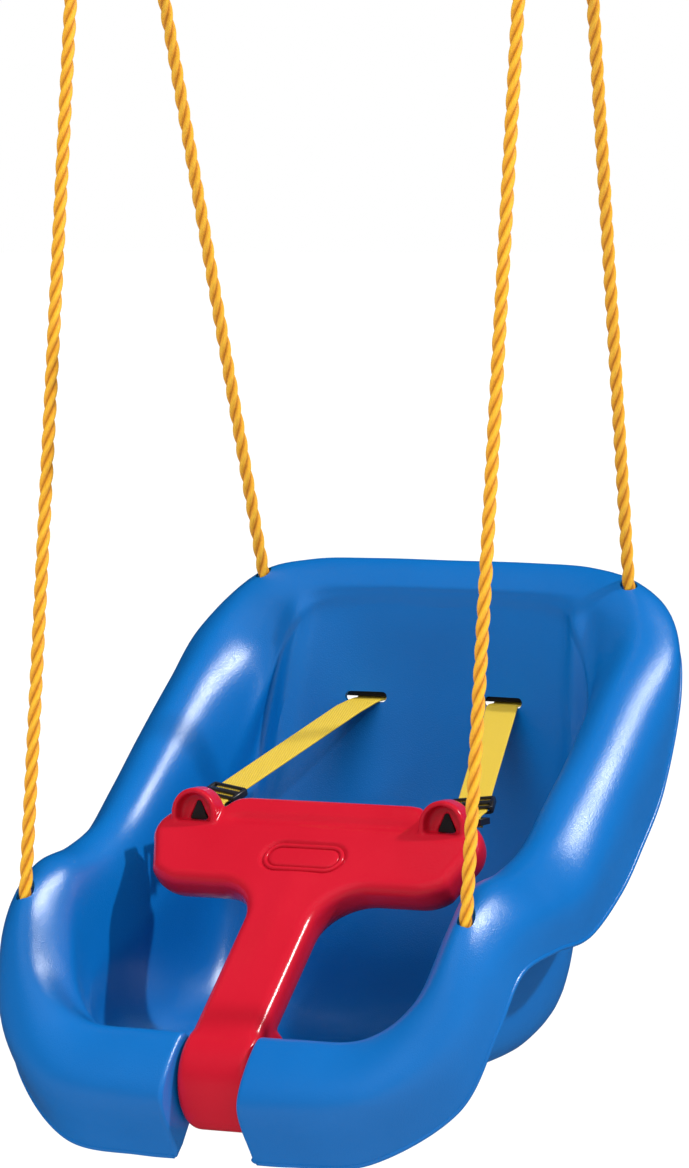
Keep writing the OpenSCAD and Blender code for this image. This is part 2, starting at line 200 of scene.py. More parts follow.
def outline_normals(outline):
    """Outward normals of a closed outline that runs anticlockwise or clockwise."""
    nxt, prv = np.roll(outline, -1, 0), np.roll(outline, 1, 0)
    t = nxt - prv
    t /= np.maximum(np.linalg.norm(t, axis=1, keepdims=True), 1e-9)
    area = np.sum(outline[:, 0] * nxt[:, 1] - nxt[:, 0] * outline[:, 1])
    n = np.stack([t[:, 1], -t[:, 0]], 1)
    return n if area > 0 else -n


def arc(centre, r, start, end, steps):
    return [(centre[0] + r * math.cos(math.radians(start + (end - start) * k / steps)),
             centre[1] + r * math.sin(math.radians(start + (end - start) * k / steps)))
            for k in range(steps + 1)]


# ------------------------------------------------------------------ materials
def material(name, base, roughness, **sockets):
    m = bpy.data.materials.new(name)
    m.use_nodes = True
    bsdf = m.node_tree.nodes["Principled BSDF"]
    bsdf.inputs["Base Color"].default_value = (*base, 1)
    bsdf.inputs["Roughness"].default_value = roughness
    for socket, value in sockets.items():
        bsdf.inputs[socket.replace("_", " ")].default_value = value
    return m, m.node_tree, bsdf


def node(tree, kind, **values):
    n = tree.nodes.new(kind)
    for key, value in values.items():
        if key in n.inputs:
            n.inputs[key].default_value = value
        else:
            setattr(n, key, value)
    return n


def noise(tree, scale, detail=2.0, coords=None, roughness=0.5):
    n = node(tree, "ShaderNodeTexNoise")
    n.inputs["Scale"].default_value = scale
    n.inputs["Detail"].default_value = detail
    n.inputs["Roughness"].default_value = roughness
    if coords is None:
        coords = node(tree, "ShaderNodeTexCoord").outputs["Object"]
    tree.links.new(coords, n.inputs["Vector"])
    return n.outputs["Fac"]


def bump(tree, height, distance, strength=1.0, normal=None):
    n = node(tree, "ShaderNodeBump")
    n.inputs["Strength"].default_value = strength
    n.inputs["Distance"].default_value = distance
    tree.links.new(height, n.inputs["Height"])
    if normal is not None:
        tree.links.new(normal, n.inputs["Normal"])
    return n.outputs["Normal"]


def ramp(tree, value, stops):
    n = node(tree, "ShaderNodeValToRGB")
    elements = n.color_ramp.elements
    while len(elements) < len(stops):
        elements.new(0.5)
    for e, (position, colour) in zip(elements, stops):
        e.position = position
        e.color = (*colour, 1) if len(colour) == 3 else colour
    tree.links.new(value, n.inputs["Fac"])
    return n.outputs["Color"]


def moulded_plastic(name, low, high, roughness, grain, grain_depth, specular=0.5):
    """A moulded plastic with slow colour drift and a fine grain in its highlights."""
    m, tree, bsdf = material(name, high, roughness)
    drift = ramp(tree, noise(tree, 9, 3), [(0.3, low), (0.7, high)])
    tree.links.new(drift, bsdf.inputs["Base Color"])
    fine = bump(tree, noise(tree, grain, 1.5, roughness=0.6), grain_depth)
    wavy = bump(tree, noise(tree, 34, 1), 0.0002, 0.6, fine)
    tree.links.new(wavy, bsdf.inputs["Normal"])
    bsdf.inputs["Specular IOR Level"].default_value = specular
    return m


BLUE = moulded_plastic(
    "blue_plastic", (0.0, 0.136, 0.46), (0.0, 0.150, 0.50), 0.28, 1100, 0.00022, specular=0.9)
RED = moulded_plastic(
    "red_plastic", (0.53, 0.007, 0.022), (0.58, 0.010, 0.028), 0.22, 500, 0.0001, specular=0.4)
BLACK = moulded_plastic(
    "black_plastic", (0.012, 0.012, 0.013), (0.02, 0.02, 0.022), 0.33, 500, 0.00008)


def rope_material():
    m, tree, bsdf = material("rope_yellow", (0.95, 0.46, 0.02), 0.5)
    lay = node(tree, "ShaderNodeAttribute", attribute_name="lay")
    valley = node(tree, "ShaderNodeSeparateXYZ")
    tree.links.new(lay.outputs["Vector"], valley.inputs[0])
    # painted light and shade: each strand's crown is painted lighter and the valleys between strands painted
    # darker
    colour = ramp(tree, valley.outputs[0], [
        (0.0, (1.0, 0.56, 0.03)), (0.55, (0.95, 0.44, 0.015)), (1.0, (0.60, 0.20, 0.004))])
    yarn = node(tree, "ShaderNodeAttribute", attribute_name="yarn")
    streak = noise(tree, 1500, 2, yarn.outputs["Vector"])
    mix = node(tree, "ShaderNodeMix", data_type="RGBA", blend_type="MULTIPLY")
    mix.inputs["Factor"].default_value = 0.35
    tree.links.new(colour, mix.inputs["A"])
    tree.links.new(ramp(tree, streak, [(0.35, (0.62, 0.5, 0.4)), (0.6, (1, 1, 1))]), mix.inputs["B"])
    tree.links.new(mix.outputs["Result"], bsdf.inputs["Base Color"])
    tree.links.new(bump(tree, streak, 0.0005), bsdf.inputs["Normal"])
    bsdf.inputs["Sheen Weight"].default_value = 0.04
    return m


def webbing_material():
    m, tree, bsdf = material("strap_yellow", (0.83, 0.60, 0.05), 0.55)
    weave = node(tree, "ShaderNodeAttribute", attribute_name="weave")
    parts = node(tree, "ShaderNodeSeparateXYZ")
    tree.links.new(weave.outputs["Vector"], parts.inputs[0])

    def wave(source, pitch, phase=0.0):
        a = node(tree, "ShaderNodeMath", operation="MULTIPLY_ADD")
        a.inputs[1].default_value = 2 * math.pi / pitch
        a.inputs[2].default_value = phase
        tree.links.new(source, a.inputs[0])
        b = node(tree, "ShaderNodeMath", operation="SINE")
        tree.links.new(a.outputs[0], b.inputs[0])
        return b.outputs[0]

    across, along = parts.outputs[0], parts.outputs[1]
    product = node(tree, "ShaderNodeMath", operation="MULTIPLY")
    tree.links.new(wave(across, 1.9), product.inputs[0])
    tree.links.new(wave(along, 1.6), product.inputs[1])
    height = node(tree, "ShaderNodeMath", operation="MULTIPLY_ADD")
    height.inputs[1].default_value = 0.5
    height.inputs[2].default_value = 0.5
    tree.links.new(product.outputs[0], height.inputs[0])
    # the weave pattern is real; its dips are painted darker as shade and its raised yarns painted lighter
    colour = ramp(tree, height.outputs[0], [
        (0.0, (0.42, 0.26, 0.01)), (0.45, (0.80, 0.55, 0.035)), (1.0, (0.95, 0.70, 0.06))])
    tree.links.new(colour, bsdf.inputs["Base Color"])
    fuzz = bump(tree, noise(tree, 2600, 2), 0.00015)
    tree.links.new(bump(tree, height.outputs[0], 0.0004, 1.0, fuzz), bsdf.inputs["Normal"])
    bsdf.inputs["Sheen Weight"].default_value = 0.04
    return m


def zinc_material():
    m, tree, bsdf = material("zinc", (0.62, 0.63, 0.65), 0.34, Metallic=0.35)
    patch = noise(tree, 120, 4)
    tree.links.new(ramp(tree, patch, [(0.3, (0.50, 0.51, 0.54)), (0.7, (0.72, 0.73, 0.74))]),
                   bsdf.inputs["Base Color"])
    tree.links.new(ramp(tree, patch, [(0.3, (0.44,) * 3), (0.7, (0.26,) * 3)]),
                   bsdf.inputs["Roughness"])
    tree.links.new(bump(tree, noise(tree, 700, 3), 0.00008), bsdf.inputs["Normal"])
    return m


ROPE, WEBBING, ZINC = rope_material(), webbing_material(), zinc_material()


# ---------------------------------------------------------------------- ropes
ROPE_D = 10.0
LAY_LENGTH = 47.0
ROPE_TOP = 685.8
FRONT_HOLE = np.array([178.0, 0, 0])
REAR_HOLE = np.array([155.0, 341, 209])
FRONT_WAY = unit([3.5, 84, 690])
REAR_WAY = unit([24, -133, 481])
ROPE_HOLE_R = 6.5
# which end of the seat, its hole, the way up, and how far below the hole the knot sits
ROPES = (("front", FRONT_HOLE, FRONT_WAY, 30.0), ("rear", REAR_HOLE, REAR_WAY, 7.0))


def lobes(angle, strand=0.262, helix=0.238):
    """Outline radius of three touching strands, and 0 at a strand's top to 1 in a valley."""
    a = (angle + math.pi / 3) % (2 * math.pi / 3) - math.pi / 3
    r = helix * math.cos(a) + math.sqrt(max(strand ** 2 - (helix * math.sin(a)) ** 2, 0))
    return r, abs(a) / (math.pi / 3)


def add_vectors(mesh, name, values):
    layer = mesh.attributes.new(name, "FLOAT_VECTOR", "POINT")
    layer.data.foreach_set("vector", np.asarray(values, np.float32).ravel())


def rope_along(name, points, diameter=ROPE_D, closed=False, around=30):
    """A laid rope along points. Returns the piece and its centre line in metres."""
    points = np.asarray(points, float)
    n = len(points)
    if closed:
        way = np.roll(points, -1, 0) - np.roll(points, 1, 0)
    else:
        way = np.gradient(points, axis=0)
    way /= np.linalg.norm(way, axis=1, keepdims=True)
    a, _, _ = frame_along(way[0], (1, 0, 0))
    s, verts, lay, yarn = 0.0, [], [], []
    for i in range(n):
        if i:
            s += np.linalg.norm(points[i] - points[i - 1])
            a = unit(a - np.dot(a, way[i]) * way[i])
        b = np.cross(way[i], a)
        for k in range(around):
            t = 2 * math.pi * k / around
            twist = t + 2 * math.pi * s / LAY_LENGTH
            r, valley = lobes(t)
            r *= diameter
            verts.append(points[i] + r * (a * math.cos(twist) + b * math.sin(twist)))
            # the valley value stored here drives the rope's painted shade between its strands
            lay.append((valley, s, 0))
            yarn.append((r * math.cos(twist) * MM, r * math.sin(twist) * MM, s * MM * 0.14))
    rings = n if closed else n - 1
    faces = [(i * around + k, i * around + (k + 1) % around,
              ((i + 1) % n) * around + (k + 1) % around, ((i + 1) % n) * around + k)
             for i in range(rings) for k in range(around)]
    if not closed:
        faces += [list(range(around))[::-1], [(n - 1) * around + k for k in range(around)]]
    mesh = bpy.data.meshes.new(name)
    mesh.from_pydata(place(verts).tolist(), [], faces)
    mesh.polygons.foreach_set("use_smooth", [True] * len(mesh.polygons))
    add_vectors(mesh, "lay", lay)
    add_vectors(mesh, "yarn", yarn)
    mesh.materials.append(ROPE)
    return add_to_scene(name, mesh), [tuple(p) for p in place(points)]


def stopper_knot(name, at, way, node_name):
    """A tight overhand knot, a closed trefoil of rope, its first turn against at."""
    a, b, w = frame_along(way)
    at = np.asarray(at, float)
    size, height = 2.05, 3.4
    line = []
    for k in range(90):
        t = 2 * math.pi * k / 90
        ring = (2 + math.cos(3 * t)) * size
        line.append(at + w * (8.6 + height * math.sin(3 * t))
                    + a * ring * math.cos(2 * t) + b * ring * math.sin(2 * t))
    knot, _ = rope_along(name, line, diameter=9.0, closed=True, around=24)
    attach(knot, "seat")
    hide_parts(node_name)
    return knot


def make_ropes():
    for side, sign in SIDES:
        for end, hole, way, drop in ROPES:
            mirror = np.array([sign, 1, 1])
            low, direction = (hole - way * drop) * mirror, way * mirror
            high = (hole + way * (ROPE_TOP - hole[2]) / way[2]) * mirror
            length = np.linalg.norm(high - low)
            count = int(length / 1.3)
            line = [low + (high - low) * k / count for k in range(count + 1)]
            rope, path = rope_along(f"{side}_{end}_laid_rope", line)
            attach(rope, "seat")
            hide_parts(f"{side}_{end}_rope")
            knots = [stopper_knot(f"{side}_{end}_tied_knot", low, -direction, f"{side}_{end}_knot"),
                     stopper_knot(f"{side}_{end}_tied_stop_knot", high, direction, f"{side}_{end}_stop_knot")]


make_ropes()

# ----------------------------------------------------------------- seat shell
WALL = 4.0
GAP_HALF = 29.5
GAP_EDGE = 3.5
HINGE = np.array([0, -13.0, -129.0])
# Half the seat, from the middle of the front roll to the middle of the back. A rib is
# its lip, outer shoulder, crest and inner edge, then wall, fillet and centre line [y, z].
RIBS = [
    [[0, -42, -184], [0, -69, -138], [0, -38, -96], [0, -17, -104],
     [0, -6, -117], [0, 10, -124], [24, -126]],
    [[60, -43, -184], [60, -70, -138], [60, -39, -96], [58, -17, -104],
     [56, -6, -117], [52, 12, -124], [50, -128]],
    [[122, -40, -178], [126, -64, -130], [116, -38, -92], [106, -14, -100],
     [100, 0, -114], [92, 22, -123], [80, -129]],
    [[176, -10, -142], [177, -36, -98], [158, -32, -62], [137, -2, -72],
     [132, 16, -98], [120, 40, -123], [108, -131]],
    [[198, 8, -88], [195, -8, -44], [175, -10, -12], [152, 16, -26],
     [144, 34, -76], [130, 64, -124], [136, -134]],
    [[205, 36, -48], [203, 32, -12], [181, 28, 14], [157, 38, 2],
     [148, 62, -56], [134, 96, -123], [164, -137]],
    [[206, 92, -38], [208, 86, -4], [183, 80, 21], [157, 84, 10],
     [148, 108, -42], [137, 136, -122], [190, -135]],
    [[207, 150, -34], [210, 136, 6], [183, 128, 37], [158, 132, 26],
     [148, 156, -24], [138, 188, -116], [217, -128]],
    [[207, 205, -10], [209, 184, 42], [183, 172, 68], [158, 178, 58],
     [147, 202, 4], [137, 238, -95], [241, -108]],
    [[207, 244, 19], [209, 228, 78], [183, 214, 101], [158, 222, 90],
     [146, 242, 46], [134, 266, -42], [257, -67]],
    [[207, 288, 62], [208, 276, 118], [181, 260, 138], [157, 266, 126],
     [142, 280, 92], [129, 286, 22], [282, -10]],
    [[205, 324, 130], [203, 320, 162], [176, 308, 174], [152, 306, 158],
     [136, 308, 132], [124, 308, 84], [312, 62]],
    [[184, 356, 170], [177, 354, 196], [156, 340, 209], [137, 326, 192],
     [124, 323, 172], [112, 322, 142], [330, 126]],
    [[136, 372, 184], [132, 370, 206], [118, 354, 220], [108, 338, 203],
     [101, 335, 192], [92, 334, 178], [336, 170]],
    [[72, 376, 188], [70, 374, 210], [64, 357, 222], [60, 341, 205],
     [56, 338.5, 197], [50, 338, 188], [338, 184]],
    [[0, 376, 188], [0, 374, 210], [0, 357, 222], [0, 341, 205],
     [0, 339, 198], [0, 338.5, 191], [338.5, 186]],
]
RIBS = np.array([[p if len(p) == 3 else [0] + p for p in rib] for rib in RIBS], float)
LAST = len(RIBS) - 1
FLIP = np.array([-1.0, 1, 1])


def smooth(a, b, c, d, t):
    return 0.5 * (2 * b + (c - a) * t + (2 * a - 5 * b + 4 * c - d) * t * t
                  + (3 * b - a - 3 * c + d) * t ** 3)


def rib_point(k, j):
    if k < 0:
        return rib_point(-k, j) * FLIP
    if k > LAST:
        return rib_point(2 * LAST - k, j) * FLIP
    return RIBS[k][j]


def section(u):
    i = min(int(math.floor(u)), LAST - 1)
    t = u - i
    q = [smooth(*(rib_point(k, j) for k in (i - 1, i, i + 1, i + 2)), t) for j in range(7)]
    return [2 * q[0] - q[1]] + q + [q[5] * FLIP]


def across_section(q, v):
    i = min(int(math.floor(v)), 5)
    return smooth(q[i], q[i + 1], q[i + 2], q[i + 3], v - i)


def skin(u, v):
    """A point on the outer skin: u runs round by ribs, v from 0 at the lip to 6 at the centre."""
    return across_section(section(u), v)


def skin_at_x(v, x):
    low, high = 0.0, 1.6
    for _ in range(26):
        mid = (low + high) / 2
        low, high = (mid, high) if skin(mid, v)[0] < x else (low, mid)
    return skin(low, v)


def raise_ridges(grid):
    """Lifts the soft upright ridge at each side of the back panel, with a hollow outside it."""
    normal = np.cross(np.gradient(grid, axis=0), np.gradient(grid, axis=1))
    normal /= np.maximum(np.linalg.norm(normal, axis=2, keepdims=True), 1e-9)
    if normal[-20, -3, 1] > 0:
        normal = -normal
    x, y, z = grid[..., 0], grid[..., 1], grid[..., 2]
    middle = 117 + (190 - z) * 0.07
    ends = 1 / (1 + np.exp((z - 188) / 4)) / (1 + np.exp((45 - z) / 9)) / (1 + np.exp((275 - y) / 6))
    lift = 6.0 * np.exp(-((x - middle) / 7.5) ** 2) - 3.0 * np.exp(-((x - middle - 17) / 9) ** 2)
    facing = np.clip(-normal[..., 1], 0, 1)
    return grid + normal * (lift * ends * facing)[..., None]


def make_shell():
    around = LAST * 8
    levels = np.r_[np.linspace(0, 4, 29), np.linspace(4, 5.4, 27)[1:], np.linspace(5.4, 6, 6)[1:]]
    across = len(levels) - 1
    grid = []
    for i in range(around + 1):
        q = section(LAST * i / around)
        grid.append([across_section(q, v) for v in levels])
    grid = raise_ridges(np.array(grid))
    verts, faces = [], []
    for mirror in (1, -1):
        base = len(verts)
        verts += [p * (mirror, 1, 1) for row in grid for p in row]
        for i in range(around):
            for j in range(across):
                a = base + i * (across + 1) + j
                b = a + across + 1
                faces.append((a, a + 1, b + 1, b) if mirror > 0 else (a, b, b + 1, a + 1))
    shell = new_object("seat_moulding", verts, faces, BLUE)
    # the back panel's middle faces -Y and up: turn the skin round if it doesn't
    middle = min(shell.data.polygons, key=lambda f: (f.center - Vector(place([20, 335, 100]))).length)
    if middle.normal.y > 0:
        shell.data.flip_normals()
    solid = shell.modifiers.new("wall", "SOLIDIFY")
    solid.thickness, solid.offset = WALL * MM, -1
    apply_modifiers(shell)
    edge = GAP_HALF + GAP_EDGE
    cutters = [box("gap", (-edge, -100, -230), (edge, 31, -60))]
    for sign in (-1, 1):
        mirror = np.array([sign, 1, 1])
        for hole, way in ((FRONT_HOLE, FRONT_WAY), (REAR_HOLE, REAR_WAY)):
            cutters.append(lathe("hole", [(ROPE_HOLE_R, -22), (ROPE_HOLE_R, 22)],
                                 hole * mirror, way * mirror, 48))
        slot = arc((13, 117), 4, -90, 90, 12) + arc((-13, 117), 4, 90, 270, 12)
        cutters.append(prism("slot", slot, 300, 350, x_shift=sign * 58))
    cut(shell, cutters)
    crease(shell, 32)
    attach(shell, "seat")
    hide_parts("seat_shell")


def make_cheek(side, sign):
    """The front roll's end wall, its outer edge rounded into the skin."""
    v_end, count = 5.55, 80
    rows = [skin_at_x(v_end * k / count, GAP_HALF + GAP_EDGE)[1:] for k in range(count + 1)]
    rows = np.array([p for p in rows if p[0] < 33 or p[1] > -110])
    under = np.array([(34, -133), (22, -137), (8, -142), (-12, -150), (-26, -163), (-36, -176)], float)
    outline = np.vstack([rows, under])
    n = len(outline)
    normals = outline_normals(outline)
    inset = np.ones(n)
    inset[len(rows):] = 0.25
    verts, rings = [], 7
    layers = [(GAP_HALF + GAP_EDGE + 2.5, 0.06)]
    for k in range(rings + 1):
        t = math.pi / 2 * k / rings
        layers.append((GAP_HALF + GAP_EDGE * (1 - math.sin(t)), GAP_EDGE * (1 - math.cos(t)) + 0.02))
    for x, r in layers:
        for p, q, w in zip(outline, normals, inset):
            verts.append((sign * x, p[0] - q[0] * r * w, p[1] - q[1] * r * w))
    cheek = new_object(f"{side}_roll_end", verts, tube_faces(len(layers), n), BLUE)
    crease(cheek, 40)
    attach(cheek, "seat")


def make_bead():
    """The rounded lip that runs round the seat's outer edge, from one side of the gap to the other."""
    r, around = 2.6, 12
    start = 0.56
    steps = 300
    us = [start + (LAST - start) * k / steps for k in range(steps + 1)]
    half = [skin(u, 0.0) for u in us]
    inward = [unit(skin(u, 0.25) - skin(u, 0.0)) for u in us]
    line = half + [p * FLIP for p in half[-2::-1]]
    inn = inward + [p * FLIP for p in inward[-2::-1]]
    line, inn = np.array(line), np.array(inn)
    way = np.gradient(line, axis=0)
    way /= np.linalg.norm(way, axis=1, keepdims=True)
    verts = []
    for p, w, i in zip(line, way, inn):
        a = unit(i - np.dot(i, w) * w)
        b = np.cross(w, a)
        if np.dot(b, (p - np.array([0, 150.0, 20]))) < 0:
            b = -b
        centre = p - b * 1.6 + a * 0.6
        for k in range(around):
            t = 2 * math.pi * k / around
            verts.append(centre + r * (a * math.cos(t) * 0.9 + b * math.sin(t)))
    bead = new_object("seat_lip", verts, tube_faces(len(line), around), BLUE)
    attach(bead, "seat")


make_shell()
for side, sign in SIDES:
    make_cheek(side, sign)
make_bead()

# ----------------------------------------------------------------- safety bar
TILT = math.radians(41.3)
FACE, DEPTH = 38.0, 34.0
BARREL_R, BARREL_HALF = 38.5, 28.0
STEM_HALF, BAR_FOOT, BAR_TOP, BAR_HALF, THROAT = 28.0, 155.0, 242.0, 134.0, 34.0
BADGE_S, BADGE_LONG, BADGE_WIDE = 182.0, 68.0, 29.0
ARCH_X, ARCH_FLOOR, ARCH_R, ARCH_MIDDLE_Z = 102.0, 39.0, 18.5, 45
POCKET_R, POCKET_END = 14.5, 129


def stand(p):
    """Bar coordinates (x, up the stem, out of the front face) to seat coordinates."""
    x, s, h = p
    return np.array([x, HINGE[1] + s * math.cos(TILT) - h * math.sin(TILT),
                     HINGE[2] + s * math.sin(TILT) + h * math.cos(TILT)])


def half_t(inset):
    return ([(STEM_HALF - inset, 6.0)]
            + [(STEM_HALF - inset, 30.0 + 15 * k) for k in range(6)]
            + arc((STEM_HALF + THROAT, BAR_FOOT - THROAT), THROAT + inset, 180, 92, 18)
            + arc((96, BAR_FOOT + 34), 34 - inset, -90, -42, 10)
            + arc((BAR_HALF - 24, 205), 24 - inset, -30, 78, 20)
            + [(100, 228.6 - inset), (92, 229.0 - inset), (84, 229.6 - inset), (79, 237 - inset),
               (74, BAR_TOP - 1 - inset), (66, BAR_TOP - inset), (40, BAR_TOP - inset)])


def make_t_body():
    """The T as rings from its back face to its front face, with rounded edges."""
    back_inset, back_rise, front_r, steps = 18.0, 21.0, 9.0, 10
    layers = []
    for k in range(steps + 1):
        t = math.pi / 2 * k / steps
        layers.append((back_inset * (1 - math.sin(t)), FACE - DEPTH + back_rise * (1 - math.cos(t))))
    for k in range(steps + 1):
        t = math.pi / 2 * k / steps
        layers.append((front_r * (1 - math.cos(t)), FACE - front_r * (1 - math.sin(t))))
    verts = []
    for inset, h in layers:
        half = half_t(inset)
        for x, s in half + [(-x, s) for x, s in half[::-1]]:
            verts.append(stand((x, s, h)))
    return new_object("t_body", verts, tube_faces(len(layers), 2 * len(half)))


def rounded_triangle(half_base, height, r, floor):
    """A triangular opening with soft corners, as an [x, z] outline."""
    slope = math.degrees(math.atan2(height, half_base))
    inner_x = half_base - r / math.tan(math.radians(slope / 2))
    top = floor + height - r / math.cos(math.radians(slope))
    return (arc((inner_x, floor + r), r, -90, slope, 6)
            + arc((0, top), r, slope, 180 - slope, 6)
            + arc((-inner_x, floor + r), r, 180 - slope, 270, 6))


def pocket_outline():
    """The hollow under an arch's band, in front of the wall with the triangular hole."""
    return ([(-POCKET_R, ARCH_FLOOR)] + arc((0, ARCH_MIDDLE_Z), POCKET_R, 180, 0, 24)
            + [(POCKET_R, ARCH_FLOOR)])


def tunnel_cutters(y_end, shift):
    """The triangular hole through the wall under an arch, and the hollow in front of it."""
    return [prism("tunnel", rounded_triangle(8.4, 17, 1.2, ARCH_FLOOR), 96, y_end, shift),
            prism("pocket", pocket_outline(), 90, POCKET_END, shift)]


def make_t_bar():
    body = make_t_body()
    cut(body, [cutter for _, sign in SIDES for cutter in tunnel_cutters(176, sign * ARCH_X)])
    parts = [body]
    r = 5.0
    profile = [(BARREL_R - r, -BARREL_HALF)]
    profile += [(BARREL_R - r * (1 - math.sin(t)), -BARREL_HALF + r * (1 - math.cos(t)))
                for t in (math.pi / 16 * k for k in range(1, 9))]
    profile += [(a, -b) for a, b in profile[::-1]]
    parts.append(lathe("barrel", profile, HINGE, (1, 0, 0), 96))
    for _, sign in SIDES:
        outer = [(-ARCH_R, 28)] + arc((0, ARCH_MIDDLE_Z), ARCH_R, 180, 0, 24) + [(ARCH_R, 28)]
        arch = prism("arch", outer, 118.5, 136.5, sign * ARCH_X, round_r=2.0)
        cut(arch, tunnel_cutters(150, sign * ARCH_X))
        parts.append(arch)
    bpy.context.view_layer.update()
    joined = bmesh.new()
    for part in parts:
        joined.from_mesh(part.data)
    mesh = bpy.data.meshes.new("t_bar_moulding")
    joined.to_mesh(mesh)
    joined.free()
    for part in parts:
        bpy.data.objects.remove(part)
    bar = add_to_scene("t_bar_moulding", mesh)
    remesh = bar.modifiers.new("skin", "REMESH")
    remesh.mode, remesh.voxel_size = "VOXEL", 1.25 * MM
    soft = bar.modifiers.new("soften", "SMOOTH")
    soft.factor, soft.iterations = 0.5, 8
    apply_modifiers(bar)
    press_features(bar.data)
    bar.data.materials.clear()
    bar.data.materials.append(RED)
    bar.data.polygons.foreach_set("use_smooth", [True] * len(bar.data.polygons))
    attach(bar, "safety_bar")
    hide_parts("t_bar")


def press_features(mesh):
    """Presses the roll along the top edge and the badge's recess into the front face."""
    co = np.empty(len(mesh.vertices) * 3)
    mesh.vertices.foreach_get("co", co)
    co = co.reshape(-1, 3)
    seat = co / MM + (0, PIVOT_Y, BEAM_HEIGHT)
    dy, dz = seat[:, 1] - HINGE[1], seat[:, 2] - HINGE[2]
    s = dy * math.cos(TILT) + dz * math.sin(TILT)
    h = -dy * math.sin(TILT) + dz * math.cos(TILT)
    x = seat[:, 0]
    front = np.clip((h - FACE + 12) / 8, 0, 1)
    clear = 1 / (1 + np.exp((np.abs(x) - 74) / 3))
    groove = 2.0 * np.exp(-((s - 217) / 5) ** 2) * clear
    half = (BADGE_LONG - BADGE_WIDE) / 2
    ring = np.hypot(np.maximum(np.abs(x) - half, 0), s - BADGE_S) - BADGE_WIDE / 2
    recess = 2.2 / (1 + np.exp(np.clip(ring / 0.45, -30, 30)))
    swell = -1.3 * np.exp(-((s - 120) / 60) ** 2) * np.exp(-(x / 14) ** 2)
    drop = (groove + recess + swell) * front
    out = np.array([0, -math.sin(TILT), math.cos(TILT)])
    co -= drop[:, None] * out * MM
    mesh.vertices.foreach_set("co", co.ravel())
    mesh.update()


def stadium(length, width, steps=20):
    half, r = (length - width) / 2, width / 2
    return arc((half, 0), r, -90, 90, steps) + arc((-half, 0), r, 90, 270, steps)


def make_badge():
    """A blank raised plaque: a rounded ring, a shallow channel and a crowned panel inside it."""
    layers = [(0.0, -2.0), (0.0, 0.9), (0.4, 1.6), (1.1, 2.0), (2.2, 2.0), (2.9, 1.6), (3.3, 0.8),
              (3.5, -0.6), (3.9, -0.6), (4.1, 0.5), (4.6, 1.2), (5.4, 1.6), (7.5, 1.8)]
    base = FACE - 2.2
    verts = []
    outer_l, outer_w = BADGE_LONG - 3.0, BADGE_WIDE - 3.0
    for inset, h in layers:
        for x, s in stadium(outer_l - 2 * inset, outer_w - 2 * inset):
            verts.append(stand((x, BADGE_S + s, base + h)))
    n = len(verts) // len(layers)
    badge = new_object("badge_plaque", verts, tube_faces(len(layers), n), RED)
    crease(badge, 50)
    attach(badge, "safety_bar")
    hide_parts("badge")


make_t_bar()
make_badge()

# --------------------------------------------------------------------- straps
ADJUSTER = np.array([103.0, 172, 54.5])
SLOT = np.array([58.0, 325, 117])
STRAP_WAY = unit(SLOT - ADJUSTER)
STRAP_ACROSS = unit(np.array([1.0, 0, 0]) - STRAP_WAY[0] * STRAP_WAY)
STRAP_UP = np.cross(STRAP_WAY, STRAP_ACROSS)
STRAP_UP = STRAP_UP * (1 if STRAP_UP[2] > 0 else -1)
WEB_W, WEB_T = 25.0, 1.8


def strap_line():
    """The strap's points from behind the back to the catch, and its width's direction at each."""
    points = [(58, 338.3, 124), (58, 337.5, 119), (58, 336.9, 116.4), (58, 334.6, 114.6),
              (58, 326, 114.6), (58.8, 321, 113.8), (64, 305, 108.6),
              ADJUSTER + 48 * STRAP_WAY, ADJUSTER, ADJUSTER - 9.6 * STRAP_WAY,
              (105.5, 157.5, 50.4), (105.5, 153.2, 49), (105.5, 152.6, 45.3),
              (105.5, 154.3, 42), (105.5, 159, 41.4)]
    sides = [(1, 0, 0)] * 5 + [(1, 0.1, 0)] + [STRAP_ACROSS] * 4 + [(1, 0, 0)] * 5
    return np.array(points, float), np.array(sides, float)


def make_webbing(side, sign):
    points, sides = strap_line()
    lengths = np.r_[0, np.cumsum(np.linalg.norm(np.diff(points, axis=0), axis=1))]
    fine = np.arange(0, lengths[-1], 0.9)
    line = np.stack([np.interp(fine, lengths, points[:, c]) for c in range(3)], 1)
    across = np.stack([np.interp(fine, lengths, sides[:, c]) for c in range(3)], 1)
    for _ in range(3):
        line[1:-1] = (line[:-2] + 2 * line[1:-1] + line[2:]) / 4
    way = np.gradient(line, axis=0)
    way /= np.linalg.norm(way, axis=1, keepdims=True)
    half, thick = WEB_W / 2, WEB_T / 2
    top = [(x, thick) for x in np.linspace(-half + 0.8, half - 0.8, 15)]
    edge = [(half - 0.8 + 0.8 * math.sin(t), thick * math.cos(t)) for t in np.linspace(0.5, math.pi - 0.5, 5)]
    ring = top + edge + [(-x, -z) for x, z in top] + [(-x, -z) for x, z in edge]
    verts, weave = [], []
    for p, w, a, s in zip(line, way, across, fine):
        a = unit(a - np.dot(a, w) * w)
        b = np.cross(w, a)
        for x, z in ring:
            verts.append((p + a * x + b * z) * (sign, 1, 1))
            weave.append((x, s, 0))
    mesh = bpy.data.meshes.new(f"{side}_woven_strap")
    mesh.from_pydata(place(verts).tolist(), [], tube_faces(len(line), len(ring)))
    mesh.polygons.foreach_set("use_smooth", [True] * len(mesh.polygons))
    add_vectors(mesh, "weave", weave)
    mesh.materials.append(WEBBING)
    strap = add_to_scene(f"{side}_woven_strap", mesh)
    if sign < 0:
        mesh.flip_normals()
    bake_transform(strap)
    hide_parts(f"{side}_webbing")


